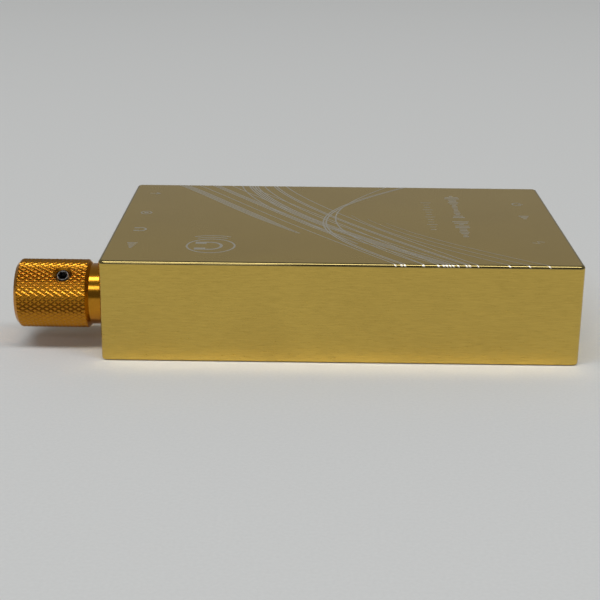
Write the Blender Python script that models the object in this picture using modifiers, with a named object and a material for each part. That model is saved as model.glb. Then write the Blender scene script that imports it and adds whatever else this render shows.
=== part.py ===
"""A portable headphone amplifier: a milled case closed by a base plate, with a turned volume
knob and three jacks on its front end, and two slide switches and a charging port on its rear.

The origin is the middle of the underside. +X runs from the knob end to the rear end, +Z is up.
"""

import math

import bmesh
import bpy
from mathutils import Vector

# ---- case -------------------------------------------------------------------------------
CASE_LENGTH = 0.110
CASE_WIDTH = 0.072
CASE_HEIGHT = 0.024
WALL = 0.0024
CASE_SIDE_RADIUS = 0.0015
CASE_TOP_RADIUS = 0.00075
CASE_BOTTOM_RADIUS = 0.0006
FRONT = -CASE_LENGTH / 2
REAR = CASE_LENGTH / 2
INNER_X = CASE_LENGTH / 2 - WALL
INNER_Y = CASE_WIDTH / 2 - WALL
CEILING = CASE_HEIGHT - WALL
INNER_RADIUS = 0.0015

# ---- base plate and the posts that it is screwed to -------------------------------------
RIM = 0.0011
PLATE_GAP = 0.00015
PLATE_THICKNESS = 0.0016
LEDGE = PLATE_THICKNESS + 0.0001
POST_REACH = 0.0036
POST_SCREW_INSET = 0.0017
MID_POST_WIDTH = 0.0038

# ---- circuit board ----------------------------------------------------------------------
BOARD_BOTTOM = 0.0046
BOARD_TOP = 0.0062
BOARD_HALF_X = 0.0514
BOARD_HALF_Y = 0.0324
NOTCH_GAP = 0.0004
ON_BOARD = BOARD_TOP + 0.00015
BOARD_POST_X = 0.033
BOARD_POST_Y = 0.028
BOARD_POST_RADIUS = 0.0026

# ---- small screws -----------------------------------------------------------------------
SCREW_RADIUS = 0.00098
SCREW_HEAD_RADIUS = 0.0018
SCREW_SOCKET_RADIUS = 0.0007
TAPPED_RADIUS = 0.00106
CLEAR_RADIUS = 0.00118
BASE_SCREW_LENGTH = 0.0052
BOARD_SCREW_LENGTH = 0.0062

# ---- front end: volume control and jacks ------------------------------------------------
AXIS_Z = 0.012
KNOB_Y = -0.0232
KNOB_RADIUS = 0.008075
KNOB_NECK_RADIUS = 0.0072
KNOB_STANDOFF = 0.0004
KNOB_NECK_END = 0.0034
KNOB_CHAMFER = 0.0009
KNOB_TIP = 0.0208
KNOB_HOLLOW_RADIUS = 0.0063
KNOB_BORE_RADIUS = 0.00306
KNOB_BORE_END = 0.0144
SET_SCREW_AT = 0.00956
SET_SCREW_ANGLE = math.radians(52.2)
SET_SCREW_RADIUS = 0.0015
SET_SCREW_TOP = 0.0074
SET_SCREW_TIP = 0.0026
SHAFT_RADIUS = 0.003
SHAFT_FLAT = 0.0005
SHAFT_END = 0.014
BUSH_BORE_RADIUS = 0.00308
BUSH_RADIUS = 0.00345
BUSH_END = 0.003
POT_DEPTH = 0.0058
POT_WIDTH = 0.0098

PHONE_JACK_Y = -0.0095
BALANCED_JACK_Y = 0.006
LINE_JACK_Y = 0.0259
SMALL_JACK = {"bore": 0.0018, "thread": 0.00295, "flange": 0.0038, "nut": 0.0042,
              "width": 0.0076, "depth": 0.013, "top": 0.0166}
LARGE_JACK = {"bore": 0.00226, "thread": 0.00395, "flange": 0.0053, "nut": 0.0056,
              "width": 0.0118, "depth": 0.017, "top": 0.0182}
FLANGE_BEHIND = WALL + 0.00015
FLANGE_THICKNESS = 0.00085
BARREL_END = 0.0014

# ---- rear end: switches, charging port, status light -------------------------------------
POWER_SWITCH_Y = 0.0185
GAIN_SWITCH_Y = 0.0055
SWITCH_TRAVEL = 0.0024
SWITCH_BODY = Vector((0.0046, 0.009, 0.0042))
SLIDER_WIDTH = 0.002
SLIDER_HEIGHT = 0.0017
SLIDER_OUT = 0.001
SLOT_LENGTH = SLIDER_WIDTH + SWITCH_TRAVEL + 0.0006
SLOT_HEIGHT = SLIDER_HEIGHT + 0.0004
USB_Y = -0.0171
USB_HEIGHT = 0.00326
USB_WIDTH = 0.00894
USB_DEPTH = 0.0073
USB_SHEET = 0.0003
LIGHT_Y = -0.0065
LIGHT_Z = 0.008
LIGHT_RADIUS = 0.001

# ---- power and audio parts on the board ---------------------------------------------------
BATTERY = Vector((0.060, 0.034, 0.0084))
BATTERY_X = 0.008
PAD_THICKNESS = 0.001
CAN_RADIUS = 0.004
CAN_HEIGHT = 0.0115
CAN_XS = (-0.016, -0.005, 0.006, 0.017)
CAN_Y = 0.0235

ROUND_STEPS = 24
SMALL_STEPS = 16
KNOB_STEPS = 48
SMOOTH_ANGLE = math.radians(35)

COLOURS = {
    "case_gold": ((0.60, 0.42, 0.11), 0.32, 1.0),
    "knob_gold": ((0.72, 0.33, 0.03), 0.28, 1.0),
    "steel": ((0.55, 0.55, 0.56), 0.30, 1.0),
    "brass": ((0.80, 0.58, 0.22), 0.25, 1.0),
    "zinc": ((0.62, 0.63, 0.65), 0.35, 1.0),
    "black_plastic": ((0.02, 0.02, 0.022), 0.45, 0.0),
    "board_green": ((0.01, 0.09, 0.04), 0.40, 0.0),
    "pale_plastic": ((0.78, 0.76, 0.68), 0.45, 0.0),
    "battery_wrap": ((0.45, 0.47, 0.50), 0.35, 0.6),
    "foam": ((0.06, 0.06, 0.065), 0.95, 0.0),
    "can_sleeve": ((0.03, 0.035, 0.06), 0.35, 0.0),
    "film_red": ((0.48, 0.03, 0.02), 0.35, 0.0),
    "chip": ((0.025, 0.025, 0.027), 0.55, 0.0),
    "lead_red": ((0.55, 0.01, 0.01), 0.40, 0.0),
    "lead_black": ((0.015, 0.015, 0.015), 0.40, 0.0),
    "light_clear": ((0.80, 0.88, 0.92), 0.12, 0.0),
}


def clear_scene():
    for thing in list(bpy.data.objects):
        bpy.data.objects.remove(thing, do_unlink=True)


def new_collection(name):
    made = bpy.data.collections.new(name)
    bpy.context.scene.collection.children.link(made)
    return made


def material(name):
    """The named finish, made the first time that a part asks for it."""
    if name in bpy.data.materials:
        return bpy.data.materials[name]
    colour, roughness, metallic = COLOURS[name]
    made = bpy.data.materials.new(name)
    made.use_nodes = True
    shader = made.node_tree.nodes["Principled BSDF"]
    shader.inputs["Base Color"].default_value = (*colour, 1.0)
    shader.inputs["Roughness"].default_value = roughness
    shader.inputs["Metallic"].default_value = metallic
    return made


def add_object(name, mesh, finish, place=(0, 0, 0), turn=(0, 0, 0), parent=None):
    """Puts a mesh in the scene as a part, or as a cutter where it has no finish."""
    thing = bpy.data.objects.new(name, mesh)
    (PARTS if finish else CUTTERS).objects.link(thing)
    thing.location = place
    thing.rotation_euler = turn
    thing.parent = parent
    if finish:
        thing.data.materials.append(material(finish))
    else:
        thing.hide_render = True
        thing.display_type = "WIRE"
    return thing


def smooth(mesh):
    mesh.shade_smooth()
    mesh.set_sharp_from_angle(angle=SMOOTH_ANGLE)


def block(name, size, finish=None, place=(0, 0, 0), turn=(0, 0, 0), parent=None,
          side=0.0, top=0.0, bottom=0.0, segments=2):
    """A box whose upright edges, top edges and bottom edges each have their own radius."""
    work = bmesh.new()
    bmesh.ops.create_cube(work, size=1.0)
    bmesh.ops.scale(work, vec=size, verts=work.verts)
    half = size[2] / 2

    def at_level(edge, level):
        return all(abs(vertex.co.z - level) < 1e-7 for vertex in edge.verts)

    def round_off(edges, radius):
        if radius:
            bmesh.ops.bevel(work, geom=edges, offset=radius, segments=segments,
                            affect="EDGES", profile=0.5)

    round_off([e for e in work.edges if not at_level(e, half) and not at_level(e, -half)], side)
    round_off([e for e in work.edges if at_level(e, half)], top)
    round_off([e for e in work.edges if at_level(e, -half)], bottom)
    mesh = bpy.data.meshes.new(name)
    work.to_mesh(mesh)
    work.free()
    smooth(mesh)
    return add_object(name, mesh, finish, place, turn, parent)


def rod(name, radius, bottom, top, finish=None, place=(0, 0, 0), turn=(0, 0, 0),
        parent=None, steps=SMALL_STEPS):
    """A plain cylinder along local Z, from one height to another."""
    work = bmesh.new()
    bmesh.ops.create_cone(work, cap_ends=True, segments=steps, radius1=radius, radius2=radius,
                          depth=top - bottom)
    bmesh.ops.translate(work, vec=(0, 0, (top + bottom) / 2), verts=work.verts)
    mesh = bpy.data.meshes.new(name)
    work.to_mesh(mesh)
    work.free()
    smooth(mesh)
    return add_object(name, mesh, finish, place, turn, parent)


def turned(name, profile, finish=None, place=(0, 0, 0), turn=(0, 0, 0), parent=None,
           steps=ROUND_STEPS, ring=False):
    """A solid turned about local Z. The profile's (radius, height) points run down its
    outer side; a ring's last point joins its first."""
    mesh = bpy.data.meshes.new(name)
    edges = [(i, i + 1) for i in range(len(profile) - 1)]
    if ring:
        edges.append((len(profile) - 1, 0))
    mesh.from_pydata([(radius, 0, height) for radius, height in profile], edges, [])
    thing = add_object(name, mesh, finish, place, turn, parent)
    screw = thing.modifiers.new("turn", "SCREW")
    screw.axis = "Z"
    screw.angle = 2 * math.pi
    screw.steps = steps
    screw.render_steps = steps
    screw.use_merge_vertices = True
    screw.merge_threshold = 0.00001
    screw.use_smooth_shade = False
    return thing


def boolean(thing, other, operation):
    step = thing.modifiers.new(f"{operation.lower()} {other.name}", "BOOLEAN")
    step.object = other
    step.operation = operation
    step.solver = "EXACT"


def cut(thing, *cutters):
    for cutter in cutters:
        boolean(thing, cutter, "DIFFERENCE")


def join(thing, *others):
    for other in others:
        boolean(thing, other, "UNION")


def axis_empty(name, place, turn=(0, 0, 0)):
    empty = bpy.data.objects.new(name, None)
    PARTS.objects.link(empty)
    empty.location = place
    empty.rotation_euler = turn
    empty.empty_display_size = 0.01
    return empty


def front_axis(name, y):
    """An empty on the front face, whose local Z points straight out of the case and whose
    local X points up."""
    return axis_empty(name, (FRONT, y, AXIS_Z), (0, -math.pi / 2, 0))


def base_screw_places():
    corner_x = INNER_X - POST_SCREW_INSET
    side_y = INNER_Y - POST_SCREW_INSET
    return [(x, y) for x in (-corner_x, 0, corner_x) for y in (-side_y, side_y)]


def board_screw_places():
    return [(x, y) for x in (-BOARD_POST_X, BOARD_POST_X) for y in (-BOARD_POST_Y, BOARD_POST_Y)]


def post_cutters(prefix, gap, bottom):
    """Boxes where the six base-screw posts stand, grown inwards by a gap."""
    made = []
    for index, (x, y) in enumerate(base_screw_places()):
        reach = POST_REACH + gap
        width_x = 2 * reach if x else MID_POST_WIDTH + 2 * gap
        centre_x = math.copysign(INNER_X, x) if x else 0
        made.append(block(
            f"{prefix}_{index + 1}", (width_x, 2 * reach, 0.03),
            place=(centre_x, math.copysign(INNER_Y, y), bottom + 0.015),
            side=0.0008, segments=2))
    return made


def build_case():
    shell = block("case_shell", (CASE_LENGTH, CASE_WIDTH, CASE_HEIGHT), "case_gold",
                  place=(0, 0, CASE_HEIGHT / 2), side=CASE_SIDE_RADIUS,
                  top=CASE_TOP_RADIUS, bottom=CASE_BOTTOM_RADIUS, segments=4)
    floor = 0.001
    cavity = block("cavity", (2 * INNER_X, 2 * INNER_Y, CEILING - floor),
                   place=(0, 0, (CEILING + floor) / 2), side=INNER_RADIUS, segments=3)
    cut(cavity, *post_cutters("post", 0, 0))
    for index, (x, y) in enumerate(board_screw_places()):
        cut(cavity, rod(f"board_post_{index + 1}", BOARD_POST_RADIUS, BOARD_TOP + 0.0001,
                        CASE_HEIGHT, place=(x, y, 0)))
    rebate = block("rebate", (CASE_LENGTH - 2 * RIM, CASE_WIDTH - 2 * RIM, 2 * LEDGE),
                   side=0.0009, segments=3)
    cut(shell, cavity, rebate)
    for index, (x, y) in enumerate(base_screw_places()):
        cut(shell, rod(f"base_tap_{index + 1}", TAPPED_RADIUS, 0, 0.007, place=(x, y, 0)))
    for index, (x, y) in enumerate(board_screw_places()):
        cut(shell, rod(f"board_tap_{index + 1}", TAPPED_RADIUS, 0.005, 0.0128,
                       place=(x, y, 0)))
    cut_front_holes(shell)
    cut_rear_holes(shell)


def cut_front_holes(shell):
    holes = {
        "bush": (KNOB_Y, BUSH_RADIUS),
        "phone": (PHONE_JACK_Y, SMALL_JACK["thread"]),
        "balanced": (BALANCED_JACK_Y, LARGE_JACK["thread"]),
        "line": (LINE_JACK_Y, SMALL_JACK["thread"]),
    }
    for name, (y, radius) in holes.items():
        cut(shell, rod(f"{name}_hole", radius + 0.00015, -2 * WALL, WALL, steps=ROUND_STEPS,
                       parent=front_axis(f"{name}_hole_axis", y)))


def cut_rear_holes(shell):
    for name, y in (("power", POWER_SWITCH_Y), ("gain", GAIN_SWITCH_Y)):
        cut(shell, block(f"{name}_slot", (3 * WALL, SLOT_LENGTH, SLOT_HEIGHT),
                         place=(REAR - WALL / 2, y, switch_height())))
    port_gap = 0.0004
    cut(shell, block("port_hole", (USB_HEIGHT + port_gap, USB_WIDTH + port_gap, 3 * WALL),
                     place=(REAR - WALL / 2, USB_Y, usb_height()), turn=(0, math.pi / 2, 0),
                     side=0.0015, segments=4))
    cut(shell, rod("light_hole", LIGHT_RADIUS + 0.0001, -2 * WALL, WALL,
                   place=(REAR, LIGHT_Y, LIGHT_Z), turn=(0, math.pi / 2, 0)))


def build_base_plate():
    plate = block("base_plate",
                  (CASE_LENGTH - 2 * (RIM + PLATE_GAP), CASE_WIDTH - 2 * (RIM + PLATE_GAP),
                   PLATE_THICKNESS),
                  "case_gold", place=(0, 0, PLATE_THICKNESS / 2), side=0.00075,
                  bottom=0.0002, segments=3)
    head_gap = 0.0001
    sink = [(0.0, 0.002), (CLEAR_RADIUS, 0.002), (CLEAR_RADIUS, 0.00085 + head_gap),
            (SCREW_HEAD_RADIUS + 0.00012, 0.0001), (SCREW_HEAD_RADIUS + 0.00012, -0.001),
            (0.0, -0.001)]
    for index, (x, y) in enumerate(base_screw_places()):
        cut(plate, turned(f"countersink_{index + 1}", sink, place=(x, y, 0),
                          steps=SMALL_STEPS))
        build_base_screw(index + 1, x, y)


def build_base_screw(number, x, y):
    """A countersunk machine screw, driven upwards from below the plate."""
    profile = [(0.0, BASE_SCREW_LENGTH), (SCREW_RADIUS - 0.0003, BASE_SCREW_LENGTH),
               (SCREW_RADIUS, BASE_SCREW_LENGTH - 0.0003), (SCREW_RADIUS, 0.0009),
               (SCREW_HEAD_RADIUS, 0.00022), (SCREW_HEAD_RADIUS, 0.00008), (0.0, 0.00008)]
    screw = turned(f"base_screw_{number}", profile, "steel", place=(x, y, 0),
                   steps=SMALL_STEPS)
    cut(screw, rod(f"base_screw_socket_{number}", SCREW_SOCKET_RADIUS, -0.001, 0.0009,
                   place=(x, y, 0), steps=6))


def build_board():
    board = block("main_board", (2 * BOARD_HALF_X, 2 * BOARD_HALF_Y, BOARD_TOP - BOARD_BOTTOM),
                  "board_green", place=(0, 0, (BOARD_TOP + BOARD_BOTTOM) / 2),
                  side=0.001, segments=2)
    cut(board, *post_cutters("board_notch", NOTCH_GAP, 0))
    head = [(0.0, BOARD_BOTTOM - 0.0001 + BOARD_SCREW_LENGTH),
            (SCREW_RADIUS, BOARD_BOTTOM - 0.0001 + BOARD_SCREW_LENGTH),
            (SCREW_RADIUS, BOARD_BOTTOM - 0.0001),
            (SCREW_HEAD_RADIUS, BOARD_BOTTOM - 0.0001),
            (SCREW_HEAD_RADIUS, BOARD_BOTTOM - 0.0009),
            (SCREW_HEAD_RADIUS - 0.0004, BOARD_BOTTOM - 0.0013),
            (0.0, BOARD_BOTTOM - 0.0013)]
    for index, (x, y) in enumerate(board_screw_places()):
        cut(board, rod(f"board_hole_{index + 1}", CLEAR_RADIUS, 0.003, 0.008,
                       place=(x, y, 0)))
        screw = turned(f"board_screw_{index + 1}", head, "steel", place=(x, y, 0),
                       steps=SMALL_STEPS)
        cut(screw, rod(f"board_screw_socket_{index + 1}", SCREW_SOCKET_RADIUS, 0.002,
                       BOARD_BOTTOM - 0.0005, place=(x, y, 0), steps=6))


def build_volume_control():
    axis = front_axis("volume_axis", KNOB_Y)
    screw_turn = Vector((math.sin(SET_SCREW_ANGLE), -math.cos(SET_SCREW_ANGLE), 0))
    screw_turn = screw_turn.to_track_quat("Z", "Y").to_euler()
    screw_place = (0, 0, SET_SCREW_AT)

    knob = turned("volume_knob", [
        (0.0, KNOB_TIP), (KNOB_RADIUS - KNOB_CHAMFER, KNOB_TIP),
        (KNOB_RADIUS, KNOB_TIP - KNOB_CHAMFER), (KNOB_RADIUS, KNOB_NECK_END + KNOB_CHAMFER),
        (KNOB_NECK_RADIUS, KNOB_NECK_END), (KNOB_NECK_RADIUS, KNOB_STANDOFF),
        (KNOB_HOLLOW_RADIUS, KNOB_STANDOFF), (KNOB_HOLLOW_RADIUS, KNOB_NECK_END),
        (KNOB_BORE_RADIUS, KNOB_NECK_END), (KNOB_BORE_RADIUS, KNOB_BORE_END),
        (0.0, KNOB_BORE_END)], "knob_gold", parent=axis, steps=KNOB_STEPS)
    cut(knob, turned("set_screw_hole", [
        (0.0, 0.009), (0.0022, 0.009), (0.0022, 0.0078),
        (SET_SCREW_RADIUS + 0.00006, 0.0072), (SET_SCREW_RADIUS + 0.00006, 0.002),
        (0.0, 0.002)], place=screw_place, turn=screw_turn, parent=axis))

    screw = turned("knob_set_screw", [
        (0.0, SET_SCREW_TOP), (SET_SCREW_RADIUS - 0.0002, SET_SCREW_TOP),
        (SET_SCREW_RADIUS, SET_SCREW_TOP - 0.0002), (SET_SCREW_RADIUS, SET_SCREW_TIP + 0.0004),
        (SET_SCREW_RADIUS - 0.0004, SET_SCREW_TIP), (0.0, SET_SCREW_TIP)], "steel",
        place=screw_place, turn=screw_turn, parent=axis)
    cut(screw, rod("set_screw_socket", 0.00092, 0.0055, 0.009, place=screw_place,
                   turn=screw_turn, parent=axis, steps=6))

    pot_front = -(FLANGE_BEHIND + 0.0009)
    shaft = turned("volume_shaft", [
        (0.0, SHAFT_END), (SHAFT_RADIUS - 0.0004, SHAFT_END),
        (SHAFT_RADIUS, SHAFT_END - 0.0004), (SHAFT_RADIUS, pot_front - POT_DEPTH + 0.001),
        (0.0, pot_front - POT_DEPTH + 0.001)], "zinc", parent=axis)
    cut(shaft, block("shaft_flat", (0.008, 0.008, 0.002),
                     place=(Vector((math.sin(SET_SCREW_ANGLE), -math.cos(SET_SCREW_ANGLE), 0))
                            * (SHAFT_RADIUS - SHAFT_FLAT + 0.001) + Vector((0, 0, 0.0085))),
                     turn=screw_turn, parent=axis))

    turned("pot_bush", [
        (BUSH_BORE_RADIUS, BUSH_END), (BUSH_RADIUS - 0.0001, BUSH_END),
        (BUSH_RADIUS, BUSH_END - 0.0003), (BUSH_RADIUS, -FLANGE_BEHIND), (0.0047, -FLANGE_BEHIND),
        (0.0047, pot_front + 0.0001), (BUSH_BORE_RADIUS, pot_front + 0.0001)],
        "zinc", parent=axis, ring=True)
    turned("pot_washer", [
        (BUSH_RADIUS + 0.00012, 0.0006), (0.0052, 0.0006), (0.0052, 0.0001),
        (BUSH_RADIUS + 0.00012, 0.0001)], "steel", parent=axis, ring=True)
    nut = rod("pot_nut", 0.00577, 0.0007, 0.0026, "zinc", parent=axis, steps=6)
    cut(nut, rod("pot_nut_thread", BUSH_RADIUS + 0.0001, 0, 0.004, parent=axis,
                 steps=ROUND_STEPS))
    body = block("pot_body", (POT_DEPTH, POT_WIDTH, 2 * (AXIS_Z - ON_BOARD)), "black_plastic",
                 place=(FRONT - pot_front + POT_DEPTH / 2, KNOB_Y, AXIS_Z),
                 side=0.0006, top=0.0004, segments=2)
    cut(body, rod("pot_body_bore", BUSH_BORE_RADIUS, pot_front - POT_DEPTH + 0.0008, 0,
                  parent=axis, steps=ROUND_STEPS))


def build_jack(name, y, sizes):
    """A jack: its threaded barrel goes through the case and is held by a ring nut."""
    axis = front_axis(f"{name}_axis", y)
    flange_back = FLANGE_BEHIND + FLANGE_THICKNESS
    bore, thread = sizes["bore"], sizes["thread"]
    turned(f"{name}_barrel", [
        (bore + 0.0003, BARREL_END), (thread - 0.0002, BARREL_END), (thread, BARREL_END - 0.0002),
        (thread, -FLANGE_BEHIND), (sizes["flange"], -FLANGE_BEHIND),
        (sizes["flange"], -flange_back), (bore, -flange_back), (bore, BARREL_END - 0.0003)],
        "brass", parent=axis, ring=True)
    nut = turned(f"{name}_nut", [
        (thread + 0.0001, 0.0012), (sizes["nut"] - 0.0002, 0.0012), (sizes["nut"], 0.001),
        (sizes["nut"], 0.0001), (thread + 0.0001, 0.0001)], "brass", parent=axis, ring=True)
    cut(nut, block(f"{name}_nut_slot", (0.02, 0.001, 0.002), place=(0, 0, 0.0017),
                   parent=axis))
    body_front = FRONT + flange_back + 0.0001
    body_top = sizes["top"]
    body = block(f"{name}_body", (sizes["depth"], sizes["width"], body_top - ON_BOARD),
                 "black_plastic",
                 place=(body_front + sizes["depth"] / 2, y, (body_top + ON_BOARD) / 2),
                 side=0.0005, top=0.0003, segments=2)
    cut(body, rod(f"{name}_body_bore", bore, -flange_back - 0.8 * sizes["depth"], 0,
                  parent=axis, steps=ROUND_STEPS))


def switch_height():
    return ON_BOARD + SWITCH_BODY.z / 2


def usb_height():
    return ON_BOARD + USB_HEIGHT / 2


def build_switch(name, y):
    """A two-position slide switch. Its lever rests at the low-Y end of its travel."""
    front = REAR - WALL - 0.0003
    body = block(f"{name}_switch_body", SWITCH_BODY, "zinc",
                 place=(front - SWITCH_BODY.x / 2, y, switch_height()),
                 side=0.0003, top=0.0002, segments=1)
    cut(body, block(f"{name}_body_slot", (0.005, SLOT_LENGTH, SLOT_HEIGHT),
                    place=(front, y, switch_height())))
    inner_end = front - 0.0022
    length = REAR + SLIDER_OUT - inner_end
    axis = axis_empty(f"{name}_slide_start", (inner_end + length / 2, y - SWITCH_TRAVEL / 2,
                                             switch_height()))
    slider = block(f"{name}_slider", (SLIDER_HEIGHT, SLIDER_WIDTH, length), "black_plastic",
                   turn=(0, math.pi / 2, 0), parent=axis, side=0.0002, top=0.00015,
                   segments=2)
    groove_step = 0.0006
    for index in range(3):
        cut(slider, block(f"{name}_grip_{index + 1}", (0.0004, 0.00022, 0.003),
                          place=(length / 2, (index - 1) * groove_step, 0), parent=axis))


def build_usb_port():
    depth_centre = REAR - 0.0001 - USB_DEPTH / 2
    level = (0, math.pi / 2, 0)
    port = block("usb_port", (USB_HEIGHT, USB_WIDTH, USB_DEPTH), "zinc",
                 place=(depth_centre, USB_Y, usb_height()), turn=level, side=0.0013,
                 segments=4)
    hollow = USB_DEPTH - USB_SHEET
    cut(port, block("usb_hollow",
                    (USB_HEIGHT - 2 * USB_SHEET, USB_WIDTH - 2 * USB_SHEET, hollow + 0.002),
                    place=(depth_centre + USB_SHEET / 2 + 0.001, USB_Y, usb_height()),
                    turn=level, side=0.001, segments=4))
    tongue_depth = 0.0052
    block("usb_tongue", (0.0007, 0.0066, tongue_depth), "black_plastic",
          place=(REAR - USB_DEPTH + USB_SHEET + tongue_depth / 2, USB_Y, usb_height()),
          turn=level, top=0.00015, segments=1)


def build_status_light():
    along = (0, math.pi / 2, 0)
    pipe_start = REAR - WALL - 0.0023
    turned("light_pipe", [
        (0.0, 0.0048), (LIGHT_RADIUS - 0.0003, 0.0048), (LIGHT_RADIUS, 0.0046),
        (LIGHT_RADIUS, 0.0), (0.0, 0.0)], "light_clear",
        place=(pipe_start, LIGHT_Y, LIGHT_Z), turn=along, steps=SMALL_STEPS)
    block("status_led", (0.0016, 0.0022, 2 * (LIGHT_Z - ON_BOARD)), "pale_plastic",
          place=(pipe_start - 0.0009, LIGHT_Y, LIGHT_Z), side=0.0003, top=0.0002, segments=1)


def build_battery():
    top = CEILING - 0.00015
    pad = block("battery_pad", (0.05, 0.028, PAD_THICKNESS), "foam",
                place=(BATTERY_X, 0, top - PAD_THICKNESS / 2), side=0.002, segments=2)
    battery_top = pad.location.z - PAD_THICKNESS / 2 - 0.0001
    middle = battery_top - BATTERY.z / 2
    block("battery_pack", BATTERY, "battery_wrap", place=(BATTERY_X, 0, middle), side=0.0015,
          top=0.0008, bottom=0.0008, segments=3)
    end_x = BATTERY_X - BATTERY.x / 2
    socket_x = -0.0305
    socket_top = ON_BOARD + 0.0048
    block("battery_socket", (0.0045, 0.006, 0.0048), "pale_plastic",
          place=(socket_x, 0, ON_BOARD + 0.0024), side=0.0004, top=0.0002, segments=1)
    block("battery_plug", (0.0039, 0.0054, 0.003), "pale_plastic",
          place=(socket_x, 0, socket_top + 0.00015 + 0.0015), side=0.0004, top=0.0002,
          segments=1)
    start = Vector((socket_x + 0.0021, 0, socket_top + 0.002))
    finish = Vector((end_x - 0.0002, 0, middle))
    for name, y in (("battery_lead_red", -0.0012), ("battery_lead_black", 0.0012)):
        lead(name, start + Vector((0, y, 0)), finish + Vector((0, 1.5 * y, 0)), name[8:])


def lead(name, start, finish, finish_name, points=13, radius=0.00045):
    """A short insulated wire: level at both ends, with a smooth rise between them."""
    curve = bpy.data.curves.new(name, "CURVE")
    curve.dimensions = "3D"
    curve.bevel_depth = radius
    curve.bevel_resolution = 2
    curve.use_fill_caps = True
    spline = curve.splines.new("POLY")
    spline.points.add(points - 1)
    for index, point in enumerate(spline.points):
        share = index / (points - 1)
        ease = share * share * (3 - 2 * share)
        point.co = (start.x + (finish.x - start.x) * share,
                    start.y + (finish.y - start.y) * ease,
                    start.z + (finish.z - start.z) * ease, 1.0)
    add_object(name, curve, finish_name)


def build_can(number, x):
    """A radial electrolytic capacitor with its crimped groove and dished top."""
    height, groove = CAN_HEIGHT, 0.0022
    turned(f"capacitor_{number}", [
        (0.0, height - 0.0002), (CAN_RADIUS - 0.0009, height - 0.0002),
        (CAN_RADIUS - 0.0007, height), (CAN_RADIUS - 0.0003, height),
        (CAN_RADIUS, height - 0.0003), (CAN_RADIUS, groove + 0.0004),
        (CAN_RADIUS - 0.0003, groove), (CAN_RADIUS, groove - 0.0004), (CAN_RADIUS, 0.0003),
        (CAN_RADIUS - 0.0003, 0.0), (0.0, 0.0)], "can_sleeve",
        place=(x, CAN_Y, ON_BOARD), steps=ROUND_STEPS)


def build_chip(name, x, y, length, width, height, legs):
    """A moulded chip with a row of legs down each long side."""
    body = block(name, (length, width, height), "chip",
                 place=(x, y, ON_BOARD + 0.0002 + height / 2), top=0.0002, segments=1)
    pitch = 0.00127
    for side in (-1, 1):
        for index in range(legs):
            leg_x = x + (index - (legs - 1) / 2) * pitch
            join(body, block(f"{name}_leg_{side}_{index}", (0.0004, 0.0013, 0.0005),
                             place=(leg_x, y + side * (width / 2 + 0.0005), ON_BOARD + 0.0004)))


def build_board_parts():
    for index, x in enumerate(CAN_XS):
        build_can(index + 1, x)
    for index, x in enumerate(CAN_XS[:2]):
        block(f"film_capacitor_{index + 1}", (0.0072, 0.0045, 0.008), "film_red",
              place=(x, -CAN_Y, ON_BOARD + 0.004), side=0.0006, top=0.0004, segments=2)
    build_chip("opamp_left", -0.0285, 0.0125, 0.0049, 0.0039, 0.0015, 4)
    build_chip("opamp_right", -0.0285, 0.0215, 0.0049, 0.0039, 0.0015, 4)
    build_chip("charger_chip", 0.0385, -0.0265, 0.0049, 0.0039, 0.0015, 4)
    block("mute_relay", (0.0065, 0.01, 0.005), "pale_plastic",
          place=(-0.0298, -0.0125, ON_BOARD + 0.0025), side=0.0006, top=0.0004, segments=2)
    turned("charger_coil", [
        (0.0, 0.004), (0.0028, 0.004), (0.0034, 0.0036), (0.0034, 0.0006), (0.003, 0.0),
        (0.0, 0.0)], "chip", place=(0.022, -CAN_Y, ON_BOARD), steps=SMALL_STEPS)


clear_scene()
PARTS = new_collection("headphone_amplifier")
CUTTERS = new_collection("cutters")
CUTTERS.hide_render = True

build_case()
build_base_plate()
build_board()
build_volume_control()
build_jack("phone_jack", PHONE_JACK_Y, SMALL_JACK)
build_jack("balanced_jack", BALANCED_JACK_Y, LARGE_JACK)
build_jack("line_jack", LINE_JACK_Y, SMALL_JACK)
build_switch("power", POWER_SWITCH_Y)
build_switch("gain", GAIN_SWITCH_Y)
build_usb_port()
build_status_light()
build_battery()
build_board_parts()
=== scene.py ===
"""The looks of a portable headphone amplifier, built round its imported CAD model."""

import math

import bmesh
import bpy
from mathutils import Matrix, Vector


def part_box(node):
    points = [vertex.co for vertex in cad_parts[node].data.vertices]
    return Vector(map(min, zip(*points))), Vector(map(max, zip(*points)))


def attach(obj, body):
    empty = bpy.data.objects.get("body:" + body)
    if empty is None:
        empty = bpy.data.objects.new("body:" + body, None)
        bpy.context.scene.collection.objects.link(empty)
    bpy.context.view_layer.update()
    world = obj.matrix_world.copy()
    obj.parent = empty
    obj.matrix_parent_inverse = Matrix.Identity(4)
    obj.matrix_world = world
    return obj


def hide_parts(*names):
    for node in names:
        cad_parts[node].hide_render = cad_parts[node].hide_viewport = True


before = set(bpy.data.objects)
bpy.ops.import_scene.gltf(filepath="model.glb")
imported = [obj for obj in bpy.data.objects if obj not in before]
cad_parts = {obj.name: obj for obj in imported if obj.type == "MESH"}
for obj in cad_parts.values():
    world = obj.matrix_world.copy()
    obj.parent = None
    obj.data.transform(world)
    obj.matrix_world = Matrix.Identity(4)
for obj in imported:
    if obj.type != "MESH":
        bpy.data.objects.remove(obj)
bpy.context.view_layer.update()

MM = 0.001
FIXED = "amplifier"
TURNING = "volume_control"


def centre(node):
    low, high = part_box(node)
    return (low + high) / 2


def size(node):
    low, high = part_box(node)
    return high - low


# ---- places read from the CAD model ----
case_low, case_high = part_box("case_shell")
knob_low, knob_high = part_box("volume_knob")
FRONT = case_low.x
REAR, FAR, TOP = case_high
KNOB_Y, AXIS_Z = centre("volume_knob").yz
KNOB_RADIUS = (knob_high.z - knob_low.z) / 2
KNOB_TIP = FRONT - knob_low.x
KNOB_FOOT = FRONT - knob_high.x

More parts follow.
